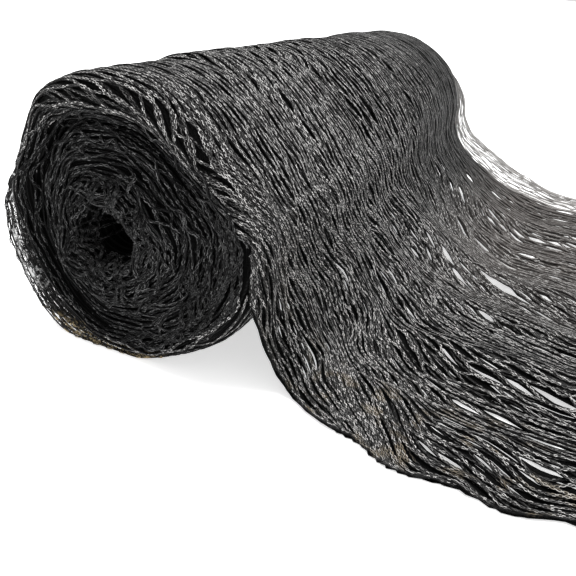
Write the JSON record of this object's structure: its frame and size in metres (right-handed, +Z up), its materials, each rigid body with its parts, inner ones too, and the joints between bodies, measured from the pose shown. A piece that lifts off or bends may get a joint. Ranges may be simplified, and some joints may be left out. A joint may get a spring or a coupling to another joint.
{
  "type": "bird netting roll",
  "caption": "Gathered knitted garden net wound into one loose roll; its outer turn falls over one side and runs out along the ground, ready to pull over plants.",
  "frame": {"origin": "middle of the flat spot on which the roll rests", "axes": "+Z up, +Y along the roll towards its far end, +X towards the loose end on the ground"},
  "size_m": [0.5011, 0.6388, 0.1897],
  "materials": {
    "net": "black knitted polyethylene with a dull gloss"
  },
  "bodies": {
    "root": {"netting_roll": "net", "loose_end": "net"}
  },
  "joints": []
}
